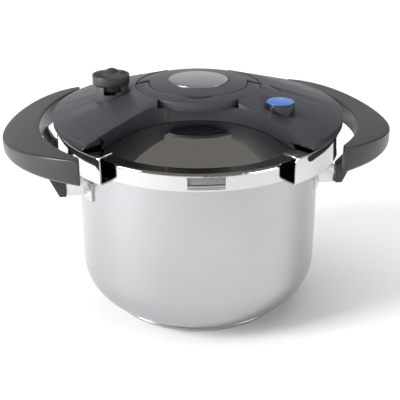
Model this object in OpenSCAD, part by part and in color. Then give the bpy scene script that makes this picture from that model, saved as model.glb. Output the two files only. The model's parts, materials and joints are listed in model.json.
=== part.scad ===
// Clamp-type pressure cooker: steel pot with two side handles, domed lid,
// moulded lid cover with a lifting bail that drives two clamp jaws.
// Frame: origin at the centre of the base, +Z up, jaws open along X.
// All sizes in millimetres.

/* [Pot] */
// Outer radius of the pot wall
pot_r = 120; // [105:1:150]
// Wall thickness of the pot
pot_wall = 1.5; // [1:0.1:2.5]
// Height of the rim above the surface it stands on
pot_h = 169.4; // [140:1:215]
// Outer radius of the round corner between wall and base
corner_r = 45.5; // [30:0.5:50]
// Radius of the rolled bead on the rim
bead_r = 2.4; // [2:0.1:3]
// Radius of the sandwich base disc
base_r = 94; // [80:1:100]
// Height of the sandwich base disc
base_h = 4.4; // [3:0.1:8]

/* [Lid] */
// Thickness of the lid sheet
lid_t = 1.4; // [1:0.1:2]
// Rise of the dome above the flange
dome_h = 28; // [22:0.5:30]
// Height of the skirt below the flange top
skirt_h = 15.9; // [14:0.1:18]
// Gap between the rim bead and the inside of the skirt
skirt_gap = 0.6; // [0.4:0.1:1.5]
// Height of the gasket
gasket_h = 8.3; // [6:0.1:10]
// Radial width of the gasket
gasket_w = 11; // [8:0.5:13]
// Width of the safety window in the skirt
window_w = 33; // [20:1:45]
// Height of the safety window in the skirt
window_h = 11.5; // [8:0.5:12]
// Direction of the safety window, from the front centre towards +X, in degrees
window_turn = 3.4; // [-10:0.1:10]

/* [Jaws] */
// Thickness of the jaw sheet
jaw_t = 1.8; // [1.2:0.1:2.5]
// Gap between the skirt and the inside of the jaw wall
jaw_gap = 10.4; // [8:0.1:12]
// Half of the angle that a jaw spans, in degrees
jaw_half_angle = 51.7; // [35:0.1:55]
// Outward travel of each jaw
jaw_travel = 9; // [7:0.5:10]
// How far the lower lip reaches under the rim bead
jaw_bite = 2.8; // [2:0.1:3.2]
// Gap above the flange to the underside of the jaw's top lip
jaw_rise = 6.7; // [5:0.1:9]
// Width of the arm that carries a jaw
arm_w = 14; // [10:1:16]
// Thickness of the arm
arm_t = 2; // [1.5:0.1:2.5]

/* [Cover] */
// Outer radius of the cover's wings beyond the skirt
wing_reach = 14.9; // [13:0.1:17]
// Thickness of the moulded cover
cover_wall = 3; // [2:0.1:3.2]
// Height of the wing's outer edge
wing_edge_h = 7.6; // [6:0.1:9]
// Fall of the wing's top surface per millimetre outwards
wing_fall = 0.30; // [0.28:0.01:0.32]
// Half of the waist between the scooped front and back, at the top
waist_top = 42.8; // [40:0.1:46]
// Half of the waist at the foot, on the dome
waist_foot = 49.8; // [48:0.1:52]

/* [Hub] */
// Radius of the round hub in the middle of the cover
hub_r = 60.4; // [60:0.1:62]
// Radius of the bright insert in the hub
insert_r = 28.9; // [24:0.1:29]
// Radial width of the lifting bail
bail_w = 12.2; // [10:0.1:12.5]
// Radius of the pins that the bail turns on
pivot_r = 2; // [1.6:0.1:2.2]
// Radius of the cam barrels on the pins
barrel_r = 5; // [4.8:0.1:5.1]

/* [Valve] */
// Radius of the pressure selector knob
knob_r = 17.7; // [16:0.1:19]
// Height of the knob's side
knob_h = 8.5; // [7:0.1:11]
// Radius of the valve stem
stem_r = 4.9; // [4:0.1:5.5]

/* [Button] */
// Radius of the release button
button_r = 13.4; // [11:0.1:14]
// Travel of the release button
button_travel = 3; // [2:0.1:4]

/* [Handles] */
// Turn of the pair of handles on the pot, in degrees
handle_turn = 7.6; // [0:0.1:10]
// Distance from the pot wall to the outer side of a handle
handle_reach = 69.7; // [60:0.1:80]
// Clear gap from the pot wall to the inner side of a handle
handle_gap = 34.3; // [32:0.1:40]
// Radius of a handle's outer outline
handle_out_r = 124.2; // [115:0.1:130]
// Radius of a handle's inner outline
handle_in_r = 158.9; // [155:0.1:165]
// Thickness of a handle at its tips
handle_tip_h = 24; // [20:0.5:28]
// Half of the distance between a bracket's two arms
bracket_half = 38; // [30:1:42]
// Height of a handle bracket
bracket_h = 18.5; // [14:0.5:22]
// Thickness of the bracket strap
bracket_t = 2; // [1.5:0.1:2.5]

/* [Hidden] */
$fn = 96;

// Clearances
touch = 0.05;         // between two pieces that rest on each other
fit_gap = 0.05;       // radial running clearance of a pin in its bore
slide_gap = 0.3;      // between sliding or moulded pieces
move_gap = 0.5;       // between a moving piece and what it passes
// Half width of the open place in front of the bail
notch_half = 37;

// Pot
arc_drop = 0.8;                            // lowest point of the corner arc
arc_z = arc_drop + corner_r;
bead_c = pot_r + bead_r - 0.5;             // centre radius of the rim bead
bead_z = pot_h - bead_r;
cap_t = 0.8;
core_r = base_r - 6;

// Lid
skirt_in_r = bead_c + bead_r + skirt_gap;
skirt_r = skirt_in_r + lid_t - 0.2;
flange_z = pot_h + gasket_h + 2 * touch + lid_t + 0.1;
skirt_z = flange_z - skirt_h;
edge_r = 2.6;                              // round edge between flange and skirt
dome_foot = skirt_r - 15;
dome_r = (dome_foot * dome_foot + dome_h * dome_h) / (2 * dome_h);
dome_c = flange_z + dome_h - dome_r;       // height of the dome's sphere centre
dome_top = flange_z + dome_h;
function dome_z(r) = dome_c + sqrt(dome_r * dome_r - r * r);
function under_z(r) = dome_c + sqrt((dome_r - lid_t) * (dome_r - lid_t) - r * r);

// Cover
wing_r = skirt_r + wing_reach;
jaw_top = flange_z + jaw_rise + jaw_t;
wing_low = jaw_top + 2.9;
wing_top = wing_low + wing_edge_h;         // top of the wing at its outer edge
hub_gap = 0.5;
recess_r = hub_r + hub_gap;
cone_top = wing_top + wing_fall * (wing_r - recess_r);
function cone_z(r) = wing_top + wing_fall * (wing_r - r);
skirt_clear = 12;                          // the wing's walls reach the dome inside this

// Hub
rim_top = cone_top - 0.5;                  // top of the hub at its rim
crown = 5.1;
crown_at = insert_r + 0.6;
crown_c = (crown * crown + 2 * crown * rim_top + crown_at * crown_at - hub_r * hub_r) / (2 * crown);
crown_r = sqrt(hub_r * hub_r + (rim_top - crown_c) * (rim_top - crown_c));
function crown_z(r) = crown_c + sqrt(crown_r * crown_r - r * r);
lip_h = 6.8;                               // height of the bail's outer edge
lip_z = rim_top - lip_h;
pivot_z = rim_top - 4;
bail_in = hub_r - bail_w;
hub_in = bail_in - 0.9;
seat_z = lip_z - 2.3;                      // ledge in the cover that carries the hub
hub_skirt_z = seat_z + touch;
hub_flange_t = 1.3;
insert_z = crown_z(0) - 2.6;               // underside of the insert

// Cam drive: a quarter turn of the bail moves a jaw by jaw_travel
pin_r = 1.5;
pin_x = 31.25;                             // follower pin at rest, from the middle
barrel_x0 = pin_x - 4.25;
barrel_x1 = pin_x + jaw_travel + 2.75;
groove_floor = pivot_r + 1;
groove_half = 2.9;
arm_y = 7;
arm_z = pivot_z - barrel_r - 3.3;          // underside of the arm's inner end
bend_in = 62;
bend_out = skirt_r - 18;
arm_out = skirt_r + 8;

// Jaws
jaw_r = skirt_r + jaw_gap + jaw_t;
lip_under = skirt_z - move_gap;            // top of the jaw's lower lip
jaw_bottom = lip_under - jaw_t;
jaw_edge = 3;
top_lip_r = skirt_r - 7;
low_lip_r = bead_c + bead_r - jaw_bite;

// Valve
valve_at = [-83, -11];
valve_at_r = norm(valve_at);
knob_z = cone_z(valve_at_r - 10) + 8.6;
collar_r = knob_r - 1.4;
stem_top = knob_z - 3;
stem_bore = 1.5;

// Button
button_at = [75.3, -51.6];
button_at_r = norm(button_at);
button_top = cone_z(button_at_r) + 8;
button_stem_r = 2.5;
guide_z = dome_z(button_at_r) + 7.5;
spring_z = button_top - 4.2;

// Safety piston under the slot in the right wing
piston_at = [76, 0.7];
piston_r = 2.5;
piston_rise = 3;
piston_base = dome_z(norm(piston_at));
piston_top = cone_z(norm(piston_at)) - cover_wall - piston_rise - 1;
slot_r = 1.8;
slot_half = 5.6;

// Handles, in their own frame: u away from the pot, v along the handle
handle_u1 = pot_r + handle_reach;
handle_u0 = pot_r + handle_gap;
tip_u = handle_u1 - 70;
handle_top = pot_h + 22.6;
handle_low = handle_top - handle_tip_h;
handle_arch = 232;                         // radius of the top's gentle fall outwards
bracket_top = handle_low - 21;
bracket_low = bracket_top - bracket_h;
lug_w = 9;
lug_in = pot_r + 11.7;
pin_l = 6.5;

// ---------------------------------------------------------------- helpers

module ring(r_out, r_in, z0, z1) {
    translate([0, 0, z0]) difference() {
        cylinder(r = r_out, h = z1 - z0);
        translate([0, 0, -1]) cylinder(r = r_in, h = z1 - z0 + 2);
    }
}

module post(r, z0, z1) {
    translate([0, 0, z0]) cylinder(r = r, h = z1 - z0);
}

module box(lo, hi) {
    translate(lo) cube(hi - lo);
}

// Round bar along X, centred on the bail's axis
module axle(r, x0, x1) {
    translate([x0, 0, pivot_z]) rotate([0, 90, 0]) cylinder(r = r, h = x1 - x0);
}

// Solid under a sphere centred on the axis, from z0 up
module cap_solid(ball_r, ball_c, z0) {
    rotate_extrude() intersection() {
        translate([0, ball_c]) circle(r = ball_r, $fn = 360);
        translate([0, z0]) square([2 * pot_r, 2 * pot_r]);
    }
}

// Solid under the lid's dome, grown by lift
module dome_solid(lift) {
    cap_solid(dome_r + lift, dome_c, flange_z - 15);
}

// Everything that lies outside the lid's dome, down to the flange
module above_dome(lift) {
    difference() {
        post(skirt_r, flange_z + lift, dome_top + 60);
        dome_solid(lift);
    }
}

// Everything that lies under the lid's sheet
module below_dome(lift) {
    intersection() {
        post(dome_foot, flange_z - 14, dome_top + 1);
        dome_solid(-lid_t - lift);
    }
}

module hexagon(r, z0, z1) {
    translate([0, 0, z0]) cylinder(r = r, h = z1 - z0, $fn = 6);
}

// Coil spring as a swept round wire standing on z = 0
module coil(coil_r, wire_r, height, turns) {
    sides = 8;
    steps = 14 * turns;
    points = [for (i = [0:steps]) for (j = [0:sides - 1])
        let (a = 360 * turns * i / steps, b = 360 * j / sides,
             r = coil_r + wire_r * cos(b))
        [r * cos(a), r * sin(a), wire_r + (height - 2 * wire_r) * i / steps + wire_r * sin(b)]];
    walls = [for (i = [0:steps - 1]) for (j = [0:sides - 1])
        let (k = (j + 1) % sides)
        [i * sides + j, i * sides + k, (i + 1) * sides + k, (i + 1) * sides + j]];
    start = [for (j = [sides - 1:-1:0]) j];
    end = [for (j = [0:sides - 1]) steps * sides + j];
    polyhedron(points = points, faces = concat(walls, [start, end]));
}

// ---------------------------------------------------------------- pot

// Half section of the pot's outside, moved inwards by inset
module pot_section(inset) {
    translate([0, arc_z]) square([pot_r - inset, pot_h - arc_z]);
    translate([0, base_h + inset]) square([pot_r - corner_r, arc_z - base_h - inset]);
    intersection() {
        translate([pot_r - corner_r, arc_z]) circle(r = corner_r - inset);
        translate([0, base_h + inset]) square([pot_r, arc_z]);
    }
}

module pot_body() {
    color("gainsboro") rotate_extrude() {
        difference() {
            pot_section(0);
            pot_section(pot_wall);
            translate([0, bead_z]) square([pot_r + 1, pot_h]);
        }
        translate([bead_c, bead_z]) circle(r = bead_r);
    }
}

module base_core() {
    color("silver") post(core_r, cap_t, base_h);
}

module base_cap() {
    color("lightgray") difference() {
        rotate_extrude() polygon([[0, 0], [base_r - 1.2, 0], [base_r, 1.2], [base_r, base_h - 1.4],
            [base_r - 1.6, base_h], [0, base_h]]);
        post(core_r, cap_t, base_h + 1);
    }
}

// ---------------------------------------------------------------- handles

// Places a piece drawn in the handle frame on the left (side = 1) or right (side = -1)
module at_handle(side) {
    rotate([0, 0, side > 0 ? 180 + handle_turn : handle_turn]) children();
}

// Hat-shaped strap: two tabs on the wall, two radial arms and a cross web
module bracket() {
    foot_r = pot_r + bracket_t;
    arm_end = lug_in + 5;
    tab_angle = asin(bracket_half / foot_r) + 9.5;
    for (s = [-1, 1]) {
        intersection() {
            ring(foot_r, pot_r, bracket_low, bracket_top);
            linear_extrude(height = 2 * pot_h) polygon([[0, 0],
                [2 * pot_r * cos(s * tab_angle), 2 * pot_r * sin(s * tab_angle)],
                [2 * pot_r, s * (bracket_half - bracket_t)]]);
            box([0, s > 0 ? bracket_half - bracket_t / 2 : -pot_r, 0],
                [pot_r, s > 0 ? pot_r : bracket_t / 2 - bracket_half, pot_h]);
        }
        difference() {
            box([pot_r - corner_r, s * bracket_half - bracket_t / 2, bracket_low],
                [arm_end, s * bracket_half + bracket_t / 2, bracket_top]);
            post(pot_r, 0, pot_h);
            translate([lug_in + 3, s * bracket_half, (bracket_low + bracket_top) / 2]) rotate([90, 0, 0])
                cylinder(r = 1.6, h = 3 * bracket_t, center = true);
        }
    }
    box([lug_in - 3, -bracket_half, bracket_low + 2], [lug_in - 3 + bracket_t, bracket_half, bracket_top - 2]);
}

module bracket_left() {
    color("lightgray") at_handle(1) bracket();
}

module bracket_right() {
    color("lightgray") at_handle(-1) bracket();
}

// Outline of a handle seen from above: between two arcs, cut off at the tips
module handle_outline() {
    difference() {
        translate([handle_u1 - handle_out_r, 0]) circle(r = handle_out_r);
        translate([handle_u0 - handle_in_r, 0]) circle(r = handle_in_r);
        for (s = [-1, 1]) polygon([[tip_u + 1, s * 2 * pot_r], [tip_u - 4.3, s * 90], [tip_u - 4.3, 0],
            [-2 * pot_r, 0], [-2 * pot_r, s * 2 * pot_r]]);
    }
}

// Leg that hangs from the handle and holds the end of a bracket arm
module handle_lug() {
    rotate([90, 0, 0]) translate([0, 0, -lug_w / 2]) linear_extrude(height = lug_w)
        polygon([[lug_in, bracket_low], [lug_in + 6.6, bracket_low], [handle_u0 + 2.5, handle_low],
            [handle_u0 + 2.5, handle_low + 5], [handle_u0 - 5, handle_low + 5],
            [jaw_r + jaw_travel - 2.5, jaw_bottom - 1.5], [lug_in, bracket_top + 1.5]]);
}

module handle() {
    slot = bracket_t + 0.2;
    difference() {
        union() {
            intersection() {
                translate([0, 0, handle_low]) linear_extrude(height = handle_tip_h + 10) handle_outline();
                translate([tip_u + 1.8, 0, handle_top - handle_arch]) rotate([90, 0, 0])
                    cylinder(r = handle_arch, h = 4 * pot_r, center = true, $fn = 180);
            }
            for (s = [-1, 1]) translate([0, s * bracket_half, 0]) handle_lug();
        }
        for (s = [-1, 1]) {
            box([lug_in - 1, s * bracket_half - slot / 2, bracket_low - 1],
                [lug_in + 5.1, s * bracket_half + slot / 2, bracket_top + 0.1]);
            translate([lug_in + 3, s * bracket_half, (bracket_low + bracket_top) / 2]) rotate([90, 0, 0])
                cylinder(r = 1.6, h = pin_l + 2 * touch, center = true);
        }
    }
}

module handle_left() {
    color([0.16, 0.16, 0.17]) at_handle(1) handle();
}

module handle_right() {
    color([0.16, 0.16, 0.17]) at_handle(-1) handle();
}

module handle_pins() {
    color("silver") for (side = [-1, 1]) at_handle(side) for (s = [-1, 1])
        translate([lug_in + 3, s * bracket_half, (bracket_low + bracket_top) / 2]) rotate([90, 0, 0])
            cylinder(r = 1.6, h = pin_l, center = true);
}

// ---------------------------------------------------------------- lid

// Half section of the lid's outside, moved inwards by inset
module lid_section(inset) {
    intersection() {
        translate([0, dome_c]) circle(r = dome_r - inset, $fn = 360);
        translate([0, skirt_z - 1]) square([dome_foot, 2 * dome_top]);
    }
    translate([0, skirt_z - 1]) square([skirt_r - inset, flange_z - edge_r - skirt_z + 1]);
    translate([0, skirt_z - 1]) square([skirt_r - edge_r, flange_z - inset - skirt_z + 1]);
    translate([skirt_r - edge_r, flange_z - edge_r]) circle(r = edge_r - inset);
}

module lid_shell() {
    color("lightsteelblue") difference() {
        rotate_extrude() difference() {
            lid_section(0);
            lid_section(lid_t);
            square([2 * skirt_r, skirt_z]);
        }
        rotate([0, 0, window_turn]) box([-window_w / 2, -skirt_r - 5, skirt_z + 1.6],
            [window_w / 2, -skirt_r + 5, skirt_z + 1.6 + window_h]);
        translate([0, 0, dome_top - 10]) cylinder(r = 4.1, h = 20);
        for (p = screw_places) translate([p[0], p[1], flange_z - 10]) cylinder(r = 2.2, h = 40);
        translate([valve_at[0], valve_at[1], flange_z - 10]) cylinder(r = stem_r + 0.1, h = 60);
        translate([piston_at[0], piston_at[1], flange_z - 10]) cylinder(r = piston_r + 1.6, h = 60);
    }
}

module lid_gasket() {
    gasket_out = skirt_in_r - 0.3;
    z0 = pot_h + touch;
    z1 = z0 + gasket_h - touch;
    color("gray") difference() {
        union() {
            ring(gasket_out, gasket_out - gasket_w, z0, z1 - 1.6);
            ring(gasket_out - 1.4, gasket_out - gasket_w, z1 - 1.6, z1);
        }
        ring(gasket_out - 7, gasket_out - gasket_w - 1, z0 + 2.2, z1 - 2.2);
    }
}

// ---------------------------------------------------------------- cover

screw_places = [for (sx = [-1, 1]) for (sy = [-1, 1]) [sx * 98, sy * 38]];

// Half widths of the waisted plan, at the top surface and at the foot on the dome
function half_top(x) = sqrt(waist_top * waist_top + 0.9744 * x * x);
function half_foot(x) = waist_foot + 3.4 * pow(abs(x) / 50, 3);

// Section of the waisted body at x, moved inwards by inset. Each facet leans from its top edge to
// its foot on the dome and runs on past both, so that it crosses the cover's surfaces cleanly.
function station(x, inset) = let (
        past = 0.25,
        t = half_top(x) - inset,
        f = half_foot(x) - inset,
        zt = cone_z(min(norm([x, half_top(x)]), wing_r)),
        zf = dome_z(min(norm([x, half_foot(x)]), dome_foot)),
        y1 = t + (t - f) * past,
        y0 = f - (t - f) * past,
        z1 = zt + (zt - zf) * past,
        z0 = zf - (zt - zf) * past)
    [[x, -y0, flange_z - 12], [x, y0, flange_z - 12], [x, y0, z0], [x, y1, z1],
     [x, y1, cone_top + 12], [x, -y1, cone_top + 12], [x, -y1, z1], [x, -y0, z0]];

module between(inset) {
    count = 50;
    reach = wing_r + 4;
    points = [for (i = [0:count]) each station(reach * (2 * i / count - 1), inset)];
    walls = [for (i = [0:count - 1]) for (j = [0:7])
        let (a = 8 * i + j, b = 8 * i + (j + 1) % 8)
        each [[b, a, b + 8], [b + 8, a, a + 8]]];
    polyhedron(points = points, faces = concat([[for (j = [0:7]) j]], walls,
        [[for (j = [7:-1:0]) 8 * count + j]]));
}

module cover_outside() {
    rotate_extrude() difference() {
        polygon([[0, flange_z], [wing_r, flange_z], [wing_r, wing_top], [recess_r, cone_top],
            [recess_r, lip_z - 0.2], [hub_r - 2.5, lip_z - 0.2], [hub_r - 2.5, seat_z],
            [0, seat_z]]);
        translate([0, dome_c]) circle(r = dome_r + slide_gap, $fn = 360);
        square([2 * wing_r, flange_z + slide_gap]);
        translate([skirt_r - skirt_clear, 0]) square([wing_r, wing_low]);
    }
}

module cover_inside() {
    inner = wing_r - cover_wall;
    rotate_extrude() polygon([[0, skirt_z], [inner, skirt_z], [inner, cone_z(inner) - cover_wall],
        [recess_r + cover_wall, cone_z(recess_r + cover_wall) - cover_wall],
        [hub_r - 2.5, seat_z - cover_wall], [hub_r - 5.5, seat_z - cover_wall], [hub_r - 5.5, cone_top],
        [0, cone_top]]);
}

module lid_cover() {
    color([0.19, 0.19, 0.2]) difference() {
        union() {
            difference() {
                intersection() {
                    cover_outside();
                    between(0);
                }
                intersection() {
                    cover_inside();
                    between(cover_wall);
                }
            }
            for (p = screw_places) intersection() {
                translate([p[0], p[1], 0]) post(5, flange_z, cone_z(norm(p)));
                cover_outside();
            }
        }
        for (p = screw_places) translate([p[0], p[1], 0]) post(2.05, flange_z, cone_z(norm(p)) - 7);
        translate([valve_at[0], valve_at[1], 0]) post(collar_r + 0.2, flange_z, knob_z);
        translate([button_at[0], button_at[1], 0])
            post(button_r + 1.8, cone_z(button_at_r + button_r + 2) - cover_wall - 1, button_top);
        translate([piston_at[0], piston_at[1], 0]) rotate([0, 0, -36]) {
            for (s = [-1, 1]) translate([s * slot_half, 0, 0]) post(slot_r, flange_z + 20, cone_top);
            box([-slot_half, -slot_r, flange_z + 20], [slot_half, slot_r, cone_top]);
        }
        box([-notch_half, -recess_r - 3, lip_z - 0.2], [notch_half, -30, cone_top + 5]);
        for (s = [0, 1]) mirror([s, 0, 0]) {
            knuckle(move_gap, bail_in - 1, recess_r + 0.4);
            box([hub_in - 8, arm_y - 1, flange_z], [bend_in + 10, arm_y + arm_w + 1, seat_z]);
        }
    }
}

module cover_screws() {
    color("silver") for (p = screw_places) difference() {
        translate([p[0], p[1], 0]) union() {
            post(4.5, under_z(norm(p)) - 5, dome_z(norm(p)));
            post(2, under_z(norm(p)) - 5, cone_z(norm(p)) - 8);
        }
        difference() {
            translate([p[0], p[1], 0]) ring(6, 2.05, flange_z - 10, dome_top);
            below_dome(touch);
        }
    }
}

// ---------------------------------------------------------------- hub

// Everything under the hub's crowned top
module under_crown() {
    intersection() {
        post(hub_r, lip_z - 10, crown_z(0) + 1);
        cap_solid(crown_r, crown_c, lip_z - 20);
    }
}

// Radius of the bail's round end at the distance x from the middle
function knuckle_r(x) = crown_z(bail_in) - pivot_z
    + (crown_z(hub_r) - crown_z(bail_in)) * (x - bail_in) / (hub_r - bail_in);

// Round end of the bail about its own axis, in the right half
module knuckle(grow, x0, x1) {
    translate([x0, 0, pivot_z]) rotate([0, 90, 0])
        cylinder(r1 = knuckle_r(x0) + grow, r2 = knuckle_r(x1) + grow, h = x1 - x0);
}

module hub_disc() {
    color([0.2, 0.2, 0.21]) difference() {
        union() {
            intersection() {
                under_crown();
                union() {
                    post(hub_in, hub_skirt_z, cone_top + 20);
                    intersection() {
                        post(hub_r, lip_z, cone_top + 20);
                        box([-2 * hub_r, 0, 0], [2 * hub_r, 2 * hub_r, 2 * cone_top]);
                    }
                }
            }
            ring(hub_r - 2.8, hub_in - 2.5, hub_skirt_z, hub_skirt_z + hub_flange_t);
        }
        // hollow under the crown
        intersection() {
            cap_solid(crown_r - 1.8, crown_c, lip_z - 20);
            union() {
                ring(hub_in - 2.5, insert_r + 2, hub_skirt_z - 1, cone_top + 20);
                post(insert_r + 3, hub_skirt_z - 1, insert_z - 1.6);
                intersection() {
                    ring(hub_r - 2.5, hub_in, lip_z - 1, cone_top);
                    box([-2 * hub_r, 4, 0], [2 * hub_r, 2 * hub_r, 2 * cone_top]);
                }
            }
        }
        // seat of the insert
        post(insert_r + 0.6, insert_z, crown_z(0) + 5);
        for (s = [0, 1]) mirror([s, 0, 0]) {
            knuckle(move_gap, hub_in, hub_r + 2);
            // room for the bail's ends when it stands upright
            translate([0, 0, pivot_z]) linear_extrude(height = 20) polygon([[hub_in, -1], [hub_r + 2, -1],
                [hub_r + 2, knuckle_r(hub_r + 2) + move_gap], [hub_in, knuckle_r(hub_in) + move_gap]]);
            axle(pivot_r + fit_gap, hub_in - 6, hub_in + 2);
        }
    }
}

module hub_insert() {
    color("silver") intersection() {
        post(insert_r, insert_z, crown_z(0) + 5);
        cap_solid(crown_r + 0.5, crown_c, lip_z - 20);
    }
}

module hub_post() {
    color("silver") post(4, under_z(0) - 7, dome_top + 7);
}

module hub_nut() {
    color("silver") difference() {
        intersection() {
            hexagon(8, under_z(0) - 6, dome_top);
            below_dome(touch);
        }
        post(4 + touch, 0, 2 * dome_top);
    }
}

module post_nut() {
    color("silver") difference() {
        hexagon(7.5, dome_top + 2 + touch, dome_top + 5.5);
        post(4 + touch, 0, 2 * dome_top);
    }
}

// Steel bracket whose two ears hold the inner ends of the bail's pins
module cam_bracket() {
    ear = barrel_x0 - 1;
    base_z = dome_top + 0.4;
    color("lightgray") difference() {
        union() {
            box([-ear, -8, base_z], [ear, 8, base_z + 1.6]);
            for (s = [-1, 1]) box([s > 0 ? ear - 2 : -ear, -6, base_z], [s > 0 ? ear : 2 - ear, 6, pivot_z + 4]);
        }
        post(4 + touch, 0, 2 * dome_top);
        axle(pivot_r + fit_gap, -ear - 1, ear + 1);
    }
}

module bail_lever() {
    color([0.2, 0.2, 0.21]) difference() {
        intersection() {
            under_crown();
            union() {
                intersection() {
                    ring(hub_r, bail_in, lip_z, cone_top + 20);
                    box([-2 * hub_r, -2 * hub_r, 0], [2 * hub_r, 0, 2 * cone_top]);
                }
                for (s = [0, 1]) mirror([s, 0, 0]) knuckle(-touch, bail_in, hub_r);
            }
        }
        for (s = [0, 1]) mirror([s, 0, 0]) axle(pivot_r, bail_in - 1, hub_r - 3);
        // finger recess in the inner edge at the front
        translate([0, -bail_in + 15, 0]) post(19, lip_z + 2.6, cone_top + 20);
    }
}

module bail_pivot() {
    axle(pivot_r, barrel_x0 - 3.5, hub_r - 3 - touch);
}

module bail_pivot_left() {
    color("silver") mirror([1, 0, 0]) bail_pivot();
}

module bail_pivot_right() {
    color("silver") bail_pivot();
}

// Barrel with a helical groove: a quarter turn shifts the groove by jaw_travel
module cam_barrel() {
    run = jaw_travel + 7;
    turn = 90 * run / jaw_travel;
    before = 3.5;
    difference() {
        axle(barrel_r, barrel_x0, barrel_x1);
        axle(pivot_r, barrel_x0 - 1, barrel_x1 + 1);
        translate([pin_x - before, 0, pivot_z]) rotate([-90 * before / jaw_travel, 0, 0]) rotate([0, 90, 0])
            rotate([0, 0, 90]) linear_extrude(height = run, twist = -turn, slices = 40)
                translate([groove_floor, -groove_half]) square([barrel_r, 2 * groove_half]);
    }
}

module cam_barrel_left() {
    color("silver") mirror([1, 0, 0]) cam_barrel();
}

module cam_barrel_right() {
    color("silver") cam_barrel();
}

// ---------------------------------------------------------------- jaws

module jaw_section() {
    difference() {
        union() {
            translate([0, jaw_bottom]) square([jaw_r - jaw_edge, jaw_top - jaw_bottom]);
            translate([0, jaw_bottom + jaw_edge]) square([jaw_r, jaw_top - jaw_bottom - 2 * jaw_edge]);
            translate([jaw_r - jaw_edge, jaw_top - jaw_edge]) circle(r = jaw_edge);
            translate([jaw_r - jaw_edge, jaw_bottom + jaw_edge]) circle(r = jaw_edge);
        }
        translate([0, jaw_bottom + jaw_t])
            square([jaw_r - jaw_edge, jaw_top - jaw_bottom - 2 * jaw_t]);
        translate([0, jaw_bottom + jaw_edge]) square([jaw_r - jaw_t, jaw_top - jaw_bottom - 2 * jaw_edge]);
        for (z = [jaw_top - jaw_edge, jaw_bottom + jaw_edge])
            translate([jaw_r - jaw_edge, z]) circle(r = jaw_edge - jaw_t);
        translate([0, jaw_bottom + jaw_t]) square([top_lip_r, jaw_top]);
        translate([0, jaw_bottom - 1]) square([low_lip_r, jaw_top]);
    }
}

// The jaw in the right half, with the holes for its arm's rivets
module jaw() {
    difference() {
        rotate([0, 0, -jaw_half_angle]) rotate_extrude(angle = 2 * jaw_half_angle) jaw_section();
        for (y = rivet_ys) translate([rivet_x, y, jaw_top - 5]) cylinder(r = 2, h = 10);
    }
}

rivet_x = arm_out - 10;
rivet_ys = [arm_y + 3.5, arm_y + arm_w - 3.5];

// Flat arm that steps down from the cam to the jaw, with an upright ear for the follower pin
module jaw_arm() {
    difference() {
        union() {
            translate([0, arm_y + arm_w, 0]) rotate([90, 0, 0]) linear_extrude(height = arm_w)
                polygon([[pin_x - 3.25, arm_z], [bend_in - 0.4, arm_z], [bend_out - 0.4, jaw_top],
                    [arm_out, jaw_top], [arm_out, jaw_top + arm_t], [bend_out, jaw_top + arm_t],
                    [bend_in, arm_z + arm_t], [pin_x - 3.25, arm_z + arm_t]]);
            box([pin_x - 3.25, arm_y - 0.8, arm_z], [pin_x + 3.25, arm_y + 1.2, pivot_z + 3]);
        }
        for (y = rivet_ys) translate([rivet_x, y, jaw_top - 5]) cylinder(r = 2, h = 20);
        translate([pin_x, 0, pivot_z]) rotate([-90, 0, 0]) cylinder(r = pin_r, h = 20);
    }
}

module follower() {
    translate([pin_x, groove_floor + 0.35, pivot_z]) rotate([-90, 0, 0])
        cylinder(r = pin_r, h = arm_y + 2 - groove_floor);
}

module jaw_rivets() {
    for (y = rivet_ys) translate([rivet_x, y, 0]) {
        post(2, jaw_top - jaw_t - 1.2, jaw_top + arm_t + 1.2);
        post(3.4, jaw_top - jaw_t - 1.4, jaw_top - jaw_t);
        post(3.4, jaw_top + arm_t, jaw_top + arm_t + 1.2);
    }
}

// Bridge on the dome that the arm slides through
module arm_guide() {
    fall = (arm_z - jaw_top) / (bend_out - bend_in);
    x0 = bend_out - 7;
    x1 = bend_out - 1;
    top = arm_z + arm_t - fall * (x0 - bend_in - jaw_travel) + 2.4;
    leg = 3;
    difference() {
        union() {
            box([x0, arm_y - slide_gap - leg, flange_z], [x1, arm_y - slide_gap, top]);
            box([x0, arm_y + arm_w + slide_gap, flange_z], [x1, arm_y + arm_w + slide_gap + leg, top]);
            box([x0, arm_y - slide_gap - leg, top - 1.6], [x1, arm_y + arm_w + slide_gap + leg, top]);
        }
        dome_solid(touch);
    }
}

module jaw_left() {
    color("lightsteelblue") mirror([1, 0, 0]) jaw();
}

module jaw_right() {
    color("lightsteelblue") jaw();
}

module jaw_arm_left() {
    color("lightgray") mirror([1, 0, 0]) jaw_arm();
}

module jaw_arm_right() {
    color("lightgray") jaw_arm();
}

module follower_left() {
    color("silver") mirror([1, 0, 0]) follower();
}

module follower_right() {
    color("silver") follower();
}

module jaw_rivets_left() {
    color("silver") mirror([1, 0, 0]) jaw_rivets();
}

module jaw_rivets_right() {
    color("silver") jaw_rivets();
}

module arm_guide_left() {
    color("lightgray") mirror([1, 0, 0]) arm_guide();
}

module arm_guide_right() {
    color("lightgray") arm_guide();
}

// ---------------------------------------------------------------- valve

module valve_collar() {
    foot = cone_z(valve_at_r + collar_r) - cover_wall - 1;
    color([0.22, 0.22, 0.23]) translate([valve_at[0], valve_at[1], 0]) difference() {
        union() {
            ring(collar_r, collar_r - 2.8, foot, knob_z - 1);
            ring(collar_r - 1, stem_r + 0.2, foot, foot + 2);
        }
        rotate([0, 0, -90]) box([0, -5.5, knob_z - 8.5], [knob_r, 5.5, knob_z]);
        rotate([0, 0, -62]) box([0, -4, knob_z - 6], [knob_r, 4, knob_z]);
    }
}

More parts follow.
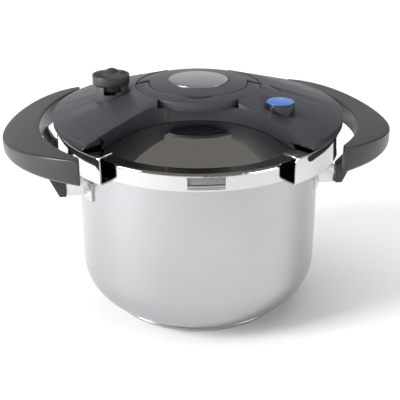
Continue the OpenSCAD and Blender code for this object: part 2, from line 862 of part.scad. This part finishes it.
module valve_knob() {
    color([0.17, 0.17, 0.18]) translate([valve_at[0], valve_at[1], 0]) {
        difference() {
            union() {
                post(knob_r, knob_z, knob_z + knob_h);
                ring(collar_r - 3.3, 9, knob_z - 6, knob_z + 1);
            }
            translate([0, 0, knob_z - 10]) cylinder(r = 6, h = 10 + knob_h - 2.5);
        }
        translate([0, knob_r - 8.5, 0]) intersection() {
            cap_solid(8.5, knob_z + knob_h - 5.2, knob_z + knob_h - 5.2);
            post(9, knob_z + knob_h - 1, knob_z + knob_h + 10);
        }
    }
}

module valve_stem() {
    seat = dome_z(valve_at_r - stem_r - 4) + 1.5;
    color("silver") translate([valve_at[0], valve_at[1], 0]) difference() {
        union() {
            post(stem_r, under_z(valve_at_r) - 12, stem_top);
            post(stem_r + 4, seat, seat + 2.5);
        }
        translate([0, 0, under_z(valve_at_r) - 13]) cylinder(r = stem_bore, h = stem_top);
    }
}

module valve_seal() {
    seat = dome_z(valve_at_r - stem_r - 4) + 1.5;
    color("dimgray") intersection() {
        translate([valve_at[0], valve_at[1], 0]) ring(stem_r + 3.5, stem_r + touch, flange_z, seat - touch);
        above_dome(touch);
    }
}

module valve_nut() {
    color("silver") intersection() {
        translate([valve_at[0], valve_at[1], 0]) difference() {
            hexagon(9, under_z(valve_at_r) - 9, dome_top);
            post(stem_r + touch, 0, 2 * dome_top);
        }
        below_dome(touch);
    }
}

module valve_plunger() {
    color("silver") translate([valve_at[0], valve_at[1], 0]) {
        post(3.6, stem_top + touch, stem_top + 2);
        post(1.2, stem_top - 5, stem_top + 4);
    }
}

module valve_spring() {
    color("silver") translate([valve_at[0], valve_at[1], stem_top + 2 + touch])
        coil(2.7, 0.45, knob_z + knob_h - 2.5 - stem_top - 2 - 2 * touch, 4);
}

// ---------------------------------------------------------------- button

module button_body() {
    low = cone_z(button_at_r + button_r) - cover_wall - 2;
    color([0.1, 0.1, 0.11]) translate([button_at[0], button_at[1], 0]) difference() {
        post(button_r, low, button_top - 1);
        post(button_r - 2, low - 1, spring_z);
        post(button_stem_r, low, spring_z + 1.6);
    }
}

module button_cap() {
    color("royalblue") translate([button_at[0], button_at[1], 0]) post(button_r - 0.9, button_top - 1, button_top);
}

module button_collar() {
    color([0.19, 0.19, 0.2]) intersection() {
        translate([button_at[0], button_at[1], 0]) ring(button_r + 1.7, button_r + slide_gap, flange_z, button_top);
        rotate_extrude() polygon([[hub_r, cone_z(hub_r) - cover_wall], [wing_r, cone_z(wing_r) - cover_wall],
            [wing_r, cone_z(wing_r) + 0.4], [hub_r, cone_z(hub_r) + 0.4]]);
    }
}

module button_stem() {
    color("silver") translate([button_at[0], button_at[1], 0])
        post(button_stem_r, guide_z - 2.2, spring_z + 1.6 - touch);
}

module button_guide() {
    color("lightgray") intersection() {
        translate([button_at[0], button_at[1], 0]) union() {
            ring(5, button_stem_r + fit_gap, flange_z, guide_z);
            ring(8, button_stem_r + fit_gap, guide_z - 2, guide_z);
        }
        above_dome(touch);
    }
}

module button_spring() {
    color("silver") translate([button_at[0], button_at[1], guide_z + touch])
        coil(6.5, 0.7, spring_z - guide_z - 2 * touch, 4);
}

// ---------------------------------------------------------------- safety piston

module at_piston() {
    translate([piston_at[0], piston_at[1], 0]) children();
}

module piston_guide() {
    color("silver") at_piston() difference() {
        union() {
            post(piston_r + 1.5, piston_base - 7, piston_base + 4);
            post(piston_r + 2.6, piston_base + 2, piston_base + 4);
        }
        translate([0, 0, piston_base - 8]) cylinder(r = piston_r + fit_gap, h = 20);
    }
}

module safety_piston() {
    color("indianred") at_piston() {
        post(piston_r, piston_base - 7 - piston_rise - 2, piston_top);
        post(piston_r + 1.5, piston_base - 7 - piston_rise - 2, piston_base - 7 - piston_rise - 0.1);
    }
}

module piston_seal() {
    color("dimgray") at_piston() post(piston_r + 1.2, piston_base - 7 - piston_rise - 3.5,
        piston_base - 7 - piston_rise - 2);
}

module piston_clip() {
    color("silver") at_piston() ring(piston_r + 2, piston_r, piston_base + 4 + touch, piston_base + 5);
}

pot_body();
base_core();
base_cap();
bracket_left();
bracket_right();
handle_left();
handle_right();
handle_pins();
lid_shell();
lid_gasket();
lid_cover();
cover_screws();
hub_disc();
hub_insert();
hub_post();
hub_nut();
post_nut();
cam_bracket();
bail_lever();
bail_pivot_left();
bail_pivot_right();
cam_barrel_left();
cam_barrel_right();
jaw_left();
jaw_right();
jaw_arm_left();
jaw_arm_right();
follower_left();
follower_right();
jaw_rivets_left();
jaw_rivets_right();
arm_guide_left();
arm_guide_right();
valve_collar();
valve_knob();
valve_stem();
valve_nut();
valve_seal();
valve_plunger();
valve_spring();
button_body();
button_cap();
button_collar();
button_stem();
button_guide();
button_spring();
safety_piston();
piston_seal();
piston_clip();
piston_guide();
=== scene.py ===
import bpy, bmesh, json, math
from mathutils import Vector, Matrix


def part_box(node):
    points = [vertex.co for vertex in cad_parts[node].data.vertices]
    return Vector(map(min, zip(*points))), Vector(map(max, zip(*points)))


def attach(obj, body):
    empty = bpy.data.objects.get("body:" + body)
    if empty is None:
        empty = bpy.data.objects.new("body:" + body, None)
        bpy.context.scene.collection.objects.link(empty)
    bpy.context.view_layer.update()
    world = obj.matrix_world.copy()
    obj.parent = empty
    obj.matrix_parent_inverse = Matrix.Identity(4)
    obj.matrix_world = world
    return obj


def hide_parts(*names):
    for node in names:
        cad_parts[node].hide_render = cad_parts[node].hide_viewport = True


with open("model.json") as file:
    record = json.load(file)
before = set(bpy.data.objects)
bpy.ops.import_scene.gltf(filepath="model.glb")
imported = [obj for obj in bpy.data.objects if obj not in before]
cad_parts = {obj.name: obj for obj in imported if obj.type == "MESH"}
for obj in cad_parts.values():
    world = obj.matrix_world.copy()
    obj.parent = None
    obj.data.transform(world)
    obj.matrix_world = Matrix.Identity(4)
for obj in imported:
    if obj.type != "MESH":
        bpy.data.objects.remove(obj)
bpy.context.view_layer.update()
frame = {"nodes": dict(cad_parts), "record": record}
nodes = frame["nodes"]
MM = 0.001


# ------------------------------------------------------------------ materials

def new_mat(name):
    m = bpy.data.materials.new(name)
    m.use_nodes = True
    nt = m.node_tree
    nt.nodes.clear()
    out = nt.nodes.new("ShaderNodeOutputMaterial")
    b = nt.nodes.new("ShaderNodeBsdfPrincipled")
    nt.links.new(b.outputs[0], out.inputs[0])
    return m, nt, b


def noise(nt, scale, stretch=(1, 1, 1), detail=3.0, rough=0.5):
    tc = nt.nodes.new("ShaderNodeTexCoord")
    mp = nt.nodes.new("ShaderNodeMapping")
    mp.inputs["Scale"].default_value = stretch
    n = nt.nodes.new("ShaderNodeTexNoise")
    n.inputs["Scale"].default_value = scale
    n.inputs["Detail"].default_value = detail
    n.inputs["Roughness"].default_value = rough
    nt.links.new(tc.outputs["Object"], mp.inputs[0])
    nt.links.new(mp.outputs[0], n.inputs["Vector"])
    return n.outputs[0]


def ranged(nt, fac, lo, hi, f0=0.3, f1=0.7):
    r = nt.nodes.new("ShaderNodeMapRange")
    r.inputs["From Min"].default_value = f0
    r.inputs["From Max"].default_value = f1
    r.inputs["To Min"].default_value = lo
    r.inputs["To Max"].default_value = hi
    nt.links.new(fac, r.inputs["Value"])
    return r.outputs[0]


def tinted(nt, b, fac, c0, c1, p0=0.3, p1=0.7):
    r = nt.nodes.new("ShaderNodeValToRGB")
    r.color_ramp.elements[0].position = p0
    r.color_ramp.elements[1].position = p1
    r.color_ramp.elements[0].color = (*c0, 1)
    r.color_ramp.elements[1].color = (*c1, 1)
    nt.links.new(fac, r.inputs[0])
    nt.links.new(r.outputs[0], b.inputs["Base Color"])


def bump(nt, b, fac, strength, dist):
    bp = nt.nodes.new("ShaderNodeBump")
    bp.inputs["Strength"].default_value = strength
    bp.inputs["Distance"].default_value = dist
    nt.links.new(fac, bp.inputs["Height"])
    nt.links.new(bp.outputs[0], b.inputs["Normal"])


def metal(name, c0, c1, r0, r1, stretch, scale, strength, dist, aniso=0.0):
    m, nt, b = new_mat(name)
    b.inputs["Metallic"].default_value = 1.0
    b.inputs["Anisotropic"].default_value = aniso
    n = noise(nt, scale, stretch, 4.0)
    big = noise(nt, 14.0, (1, 1, 1), 2.0)
    tinted(nt, b, big, c0, c1)
    nt.links.new(ranged(nt, n, r0, r1), b.inputs["Roughness"])
    bump(nt, b, n, strength, dist)
    if aniso:
        b.inputs["Anisotropic Rotation"].default_value = 0.25
        tg = nt.nodes.new("ShaderNodeTangent")
        tg.direction_type = "RADIAL"
        tg.axis = "Z"
        nt.links.new(tg.outputs[0], b.inputs["Tangent"])
    return m


def plastic(name, c0, c1, r0, r1, grain, strength, dist, spec=0.5):
    m, nt, b = new_mat(name)
    b.inputs["Specular IOR Level"].default_value = spec
    g = noise(nt, grain, (1, 1, 1), 3.0, 0.6)
    big = noise(nt, 22.0, (1, 1, 1), 3.0)
    tinted(nt, b, big, c0, c1)
    nt.links.new(ranged(nt, big, r0, r1), b.inputs["Roughness"])
    bump(nt, b, g, strength, dist)
    return m


M = {
    "steel_satin": metal("steel_satin", (.445, .445, .465), (.475, .475, .49),
        .25, .275, (2, 2, 400), 5, .012, .00003, .55),
    "steel_polished": metal("steel_polished", (.60, .59, .58), (.64, .635, .63),
        .05, .08, (1, 1, 1), 30, .02, .0001),
    "steel_plain": metal("steel_plain", (.56, .56, .57), (.64, .64, .65),
        .20, .30, (40, 40, 400), 2, .08, .00004),
    "aluminium_core": metal("aluminium_core", (.62, .62, .63), (.68, .68, .69),
        .35, .45, (1, 1, 1), 300, .1, .00004),
    "insert_silver": metal("insert_silver", (.52, .52, .56), (.60, .60, .63),
        .28, .34, (1, 1, 1), 700, .10, .00002),
    "handle_black": plastic("handle_black", (.020, .020, .022), (.028, .028, .030),
        .30, .38, 1600, .12, .00006),
    "cover_charcoal": plastic("cover_charcoal", (.033, .036, .042), (.041, .044, .050),
        .36, .44, 1500, .16, .00006),
    "knob_black": plastic("knob_black", (.026, .026, .028), (.034, .034, .036),
        .34, .42, 1600, .12, .00006),
    "button_gloss": plastic("button_gloss", (.010, .010, .011), (.014, .014, .015),
        .10, .16, 500, .03, .00004),
    "button_blue": plastic("button_blue", (.030, .125, .42), (.040, .150, .47),
        .22, .30, 900, .06, .00004),
    "gasket_grey": plastic("gasket_grey", (.16, .16, .17), (.21, .21, .22),
        .45, .55, 500, .10, .00006),
}
slots = {s["node"]: s["material_slot"] for s in frame["record"]["subparts"]}


def paint(o, mat):
    o.data.materials.clear()
    o.data.materials.append(mat)


for name, o in nodes.items():
    mat = M[slots[name]]
    if name == "button_body":
        mat = M["button_gloss"]
    if len(o.data.materials):
        for i in range(len(o.data.materials)):
            o.data.materials[i] = mat
    else:
        o.data.materials.append(mat)


# ------------------------------------------------------------------ pieces

body_of = {n: b for b, ns in frame["record"]["behaviour"]["bodies"].items() for n in ns}


MERGE = 0.00002      # points closer than this are one
FLAT_ANGLE = 0.6     # degrees, below which neighbouring faces are one
EDGE_ANGLE = 28      # degrees, above which an edge gets rounded
EDGE_STEPS = 3


def rounded(node, width):
    """The CAD node's own shape with its moulded or pressed edges rounded."""
    src = nodes[node]
    me = src.data.copy()
    o = bpy.data.objects.new(node + "_shape", me)
    bpy.context.scene.collection.objects.link(o)
    bm = bmesh.new()
    bm.from_mesh(me)
    bmesh.ops.remove_doubles(bm, verts=bm.verts, dist=MERGE)
    bmesh.ops.dissolve_limit(bm, angle_limit=math.radians(FLAT_ANGLE), verts=bm.verts, edges=bm.edges,
                             delimit={"NORMAL"})
    bm.to_mesh(me)
    bm.free()
    for p in me.polygons:
        p.use_smooth = True
    bv = o.modifiers.new("edge", "BEVEL")
    bv.width = width
    bv.segments = EDGE_STEPS
    bv.limit_method = "ANGLE"
    bv.angle_limit = math.radians(EDGE_ANGLE)
    bv.harden_normals = True
    bv.use_clamp_overlap = True
    paint(o, M[slots[node]])
    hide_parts(node)
    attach(o, body_of[node])
    return o


# ------------------------------------------------------------------ stage

def grid_mesh(name, pts, nu, nv):
    me = bpy.data.meshes.new(name)
    faces = [(i * nv + j, i * nv + j + 1, (i + 1) * nv + j + 1, (i + 1) * nv + j)
             for i in range(nu - 1) for j in range(nv - 1)]
    me.from_pydata(pts, [], faces)
    me.update()
    for p in me.polygons:
        p.use_smooth = True
    o = bpy.data.objects.new(name, me)
    bpy.context.scene.collection.objects.link(o)
    return o


m, nt, b = new_mat("floor_pale")
tinted(nt, b, noise(nt, 3.0, (1, 1, 1), 2.0), (.90, .90, .90), (.93, .93, .93))
b.inputs["Roughness"].default_value = 0.9
b.inputs["Specular IOR Level"].default_value = 0.1
FLOOR_HALF = 8
FLOOR_N = 20
pts = [(FLOOR_HALF * (i / FLOOR_N * 2 - 1), FLOOR_HALF * (j / FLOOR_N * 2 - 1), 0)
       for i in range(FLOOR_N + 1) for j in range(FLOOR_N + 1)]
floor = grid_mesh("floor", pts, FLOOR_N + 1, FLOOR_N + 1)
paint(floor, m)


def area(name, pos, target, w, h, power, color=(1, 1, 1)):
    l = bpy.data.lights.new(name, "AREA")
    l.shape = "RECTANGLE"
    l.size = w
    l.size_y = h
    l.energy = power
    l.color = color
    o = bpy.data.objects.new(name, l)
    bpy.context.scene.collection.objects.link(o)
    o.location = pos
    o.rotation_euler = (Vector(target) - Vector(pos)).to_track_quat("-Z", "Y").to_euler()
    o.visible_camera = False
    return o


area("key", (-1.8, -0.75, 1.0), (0, 0, .12), 0.7, 1.5, 62)
area("top", (0, .3, 2.2), (0, 0, .1), 2.4, 1.8, 27).visible_glossy = False
area("fill", (1.9, -.9, .9), (0, 0, .12), 1.0, 1.2, 11)
area("back", (.5, 2.3, 1.9), (.4, 2.0, 0), 3.0, 2.0, 32).visible_glossy = False

w = bpy.data.worlds.new("studio")
bpy.context.scene.world = w
w.use_nodes = True
nt = w.node_tree
bg = nt.nodes["Background"]
tc = nt.nodes.new("ShaderNodeTexCoord")
sep = nt.nodes.new("ShaderNodeSeparateXYZ")
nt.links.new(tc.outputs["Generated"], sep.inputs[0])
sky = nt.nodes.new("ShaderNodeValToRGB")
sky.color_ramp.elements[0].position = 0.05
sky.color_ramp.elements[0].color = (.85, .86, .88, 1)
sky.color_ramp.elements[1].position = 0.62
sky.color_ramp.elements[1].color = (.22, .21, .195, 1)
nt.links.new(sep.outputs["Z"], sky.inputs[0])
dot = nt.nodes.new("ShaderNodeVectorMath")
dot.operation = "DOT_PRODUCT"
dot.inputs[1].default_value = (.74, .67, 0)
nt.links.new(tc.outputs["Generated"], dot.inputs[0])
dark = nt.nodes.new("ShaderNodeMapRange")
for k, v in (("From Min", .72), ("From Max", .95), ("To Min", 1.0), ("To Max", .3)):
    dark.inputs[k].default_value = v
nt.links.new(dot.outputs["Value"], dark.inputs["Value"])
nt.links.new(sky.outputs[0], bg.inputs[0])
nt.links.new(dark.outputs[0], bg.inputs[1])

# ------------------------------------------------------------------ camera

CAM_AT = (1.86, -750.04, 438.87)   # mm
CAM_PITCH = 24.389                 # degrees below the horizontal
CAM_LENS = 71.63

cam = bpy.data.cameras.new("cam")
cam.sensor_width = 36
cam.lens = CAM_LENS
cam.clip_end = 60
co = bpy.data.objects.new("cam", cam)
bpy.context.scene.collection.objects.link(co)
co.location = tuple(v * MM for v in CAM_AT)
co.rotation_euler = (math.radians(90 - CAM_PITCH), 0, 0)
bpy.context.scene.camera = co
bpy.context.scene.view_settings.view_transform = "Standard"



# ------------------------------------------------------------------ moulded handles

HANDLE_LOW = 168.0         # mm, underside of the grip
HANDLE_TOP = 192.0
ARCH_U, ARCH_R = 121.5, 232.0             # the top falls outwards on this arc
INNER_U, INNER_R, INNER_HALF = -4.6, 158.9, 40.6    # arc beside the fingers, half angle
OUTER_U, OUTER_R, OUTER_HALF = 65.5, 124.2, 66.0    # outer arc, half angle
END_T, END_ROUND = .014, 1.5              # length and depth of the rounded tips
LUG_V, LUG_HALF = 38, 4.5
LUG_OUTLINE = [(131.7, 128.5), (138.3, 128.5), (156.8, 168), (156.8, 173), (149.3, 173), (144.8, 159.6),
               (131.7, 148.5)]


def handle_mesh(bm, turn):
    """Crescent grip lofted through rounded sections, and two tapered lugs."""
    rot = Matrix.Rotation(math.radians(turn), 3, "Z")

    def section(t, inset):
        a0, a1 = math.radians(INNER_HALF) * t, math.radians(OUTER_HALF) * t
        p = Vector((INNER_U + INNER_R * math.cos(a0), INNER_R * math.sin(a0)))
        q = Vector((OUTER_U + OUTER_R * math.cos(a1), OUTER_R * math.sin(a1)))
        wid = (q - p).length
        d = (q - p) / wid
        rb, rt = min(5.5, wid * .4), min(1.4, wid * .25)
        x0, x1, z0 = inset, wid - inset, HANDLE_LOW + inset
        out = []

        def top(x):
            u = (p + d * x).x
            return HANDLE_TOP - ARCH_R + math.sqrt(ARCH_R ** 2 - (u - ARCH_U) ** 2) - inset

        for cx, a in ((x0 + rb, 180), (x1 - rb, 270)):
            for k in range(7):
                th = math.radians(a + 15 * k)
                out.append((cx + rb * math.cos(th), z0 + rb + rb * math.sin(th)))
        for cx, a in ((x1 - rt, 0), (x0 + rt, 90)):
            if a == 90:
                for k in range(1, 8):
                    x = (x1 - rt) + (x0 + 2 * rt - x1) * k / 8
                    out.append((x, top(x)))
            for k in range(5):
                th = math.radians(a + 22.5 * k)
                x = cx + rt * math.cos(th)
                out.append((x, top(x) - rt + rt * math.sin(th)))
        return [bm.verts.new(rot @ Vector(((p + d * x).x, (p + d * x).y, z)) * MM) for x, z in out]

    rows = []
    ends = [(-1 + END_T * (1 - math.sin(math.radians(g))), END_ROUND * (1 - math.cos(math.radians(g))))
            for g in (90, 65, 40, 15)]
    middle = [(-1 + END_T + (2 - 2 * END_T) * k / 60, 0) for k in range(61)]
    ts = ends + middle + [(-t, inset) for t, inset in reversed(ends)]
    for t, inset in ts:
        rows.append(section(t, inset))
    n = len(rows[0])
    for a, b in zip(rows, rows[1:]):
        for k in range(n):
            bm.faces.new((a[k], a[(k + 1) % n], b[(k + 1) % n], b[k]))
    bm.faces.new(rows[0][::-1])
    bm.faces.new(rows[-1])
    for s in (-1, 1):
        ring0 = [bm.verts.new(rot @ Vector((u, s * LUG_V - LUG_HALF, z)) * MM) for u, z in LUG_OUTLINE]
        ring1 = [bm.verts.new(rot @ Vector((u, s * LUG_V + LUG_HALF, z)) * MM) for u, z in LUG_OUTLINE]
        m = len(LUG_OUTLINE)
        fs = [bm.faces.new((ring0[k], ring0[(k + 1) % m], ring1[(k + 1) % m], ring1[k])) for k in range(m)]
        fs += [bm.faces.new(ring0[::-1]), bm.faces.new(ring1)]
        es = list({e for f in fs for e in f.edges})
        bmesh.ops.bevel(bm, geom=es, offset=.0011, segments=3, profile=.5, affect="EDGES")


for node, turn in (("handle_right", 7.6), ("handle_left", 187.6)):
    bm = bmesh.new()
    handle_mesh(bm, turn)
    bmesh.ops.recalc_face_normals(bm, faces=bm.faces)
    me = bpy.data.meshes.new(node + "_grip")
    bm.to_mesh(me)
    bm.free()
    for f in me.polygons:
        f.use_smooth = True
    o = bpy.data.objects.new(node + "_grip", me)
    bpy.context.scene.collection.objects.link(o)
    paint(o, M["handle_black"])
    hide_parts(node)
    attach(o, body_of[node])

for node, width in (("lid_cover", .0009), ("bail_lever", .0006), ("hub_disc", .0006), ("valve_knob", .0009),
                    ("valve_collar", .0005), ("jaw_left", .0003),
                    ("jaw_right", .0003), ("base_cap", .0003), ("bracket_left", .0003),
                    ("bracket_right", .0003), ("button_cap", .0003), ("hub_insert", .0002)):
    rounded(node, width)


# ------------------------------------------------------------------ grip ribs on the selector knob

bm = bmesh.new()
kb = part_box("valve_knob")
kc = Vector(((kb[0][0] + kb[1][0]) / 2, (kb[0][1] + kb[1][1]) / 2, 0))
kr = (kb[1][0] - kb[0][0]) / 2
kt = kb[1][2] - .0033
for k in range(40):
    a = math.radians(9 * k)
    d, e = Vector((math.cos(a), math.sin(a), 0)), Vector((-math.sin(a), math.cos(a), 0))
    if abs(math.degrees(a) - 90) < 40:
        continue
    prof = ((kr * .50, -.0002), (kr * .50, .0003), (kr * .90, .0003), (kr * .945, -.0002))
    sides = [[bm.verts.new(kc + d * r + e * w * r / kr + Vector((0, 0, kt + h))) for r, h in prof]
             for w in (-.0006, .0006)]
    for i in range(4):
        j = (i + 1) % 4
        bm.faces.new((sides[0][i], sides[0][j], sides[1][j], sides[1][i]))
    bm.faces.new(sides[0][::-1])
    bm.faces.new(sides[1])
bmesh.ops.recalc_face_normals(bm, faces=bm.faces)
bmesh.ops.bevel(bm, geom=list(bm.edges), offset=.00012, segments=1, profile=.5, affect="EDGES")
me = bpy.data.meshes.new("knob_ribs")
bm.to_mesh(me)
bm.free()
ribs = bpy.data.objects.new("knob_ribs", me)
bpy.context.scene.collection.objects.link(ribs)
paint(ribs, M["knob_black"])
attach(ribs, "selector")


# ------------------------------------------------------------------ smooth facets of the cover

WAIST_TOP, WAIST_FOOT = 42.8, 49.8      # mm, half widths of the cover at its middle
WING_R, WING_TOP, WING_FALL = 141.0, 198.3, .30
DOME_R, DOME_C, DOME_FOOT = 234.4, -27.1, 111.1


def facet_points(x):
    """Foot and top edge of the cover's front facet at x."""
    yt = math.sqrt(WAIST_TOP ** 2 + .9744 * x * x)
    yf = WAIST_FOOT + 3.4 * (abs(x) / 50) ** 3
    rt = min(math.hypot(x, yt), WING_R)
    rf = min(math.hypot(x, yf), DOME_FOOT)
    return (Vector((x, yf, DOME_C + math.sqrt(DOME_R ** 2 - rf * rf))),
            Vector((x, yt, WING_TOP + WING_FALL * (WING_R - rt))))


def facet_normal(x, z):
    f, t = facet_points(x)
    u = max(0.0, min(1.0, (z - f.z) / max(.1, t.z - f.z)))
    f0, t0 = facet_points(x - .8)
    f1, t1 = facet_points(x + .8)
    along = (f1.lerp(t1, u) - f0.lerp(t0, u))
    n = along.cross(t - f)
    n.normalize()
    return n if n.y > 0 else -n


cover = bpy.data.objects["lid_cover_shape"]
deps = bpy.context.evaluated_depsgraph_get()
me = bpy.data.meshes.new_from_object(cover.evaluated_get(deps))
cover.modifiers.clear()
cover.data = me
keep = [Vector(c.vector) for c in me.corner_normals]
for f in me.polygons:
    c = f.center / MM
    side = 1 if c.y > 0 else -1
    if abs(c.x) > 140 or f.normal.y * side < .2:
        continue
    n = facet_normal(c.x, c.z)
    n = Vector((n.x, n.y * side, n.z))
    foot, topp = facet_points(c.x)
    line = foot.lerp(topp, (c.z - foot.z) / (topp.z - foot.z))
    if n.dot(f.normal) > .93 and abs(abs(c.y) - line.y) < 3:
        for li in f.loop_indices:
            v = me.vertices[me.loops[li].vertex_index].co / MM
            q = facet_normal(v.x, v.z)
            keep[li] = Vector((q.x, q.y * side, q.z))
me.normals_split_custom_set([tuple(v) for v in keep])
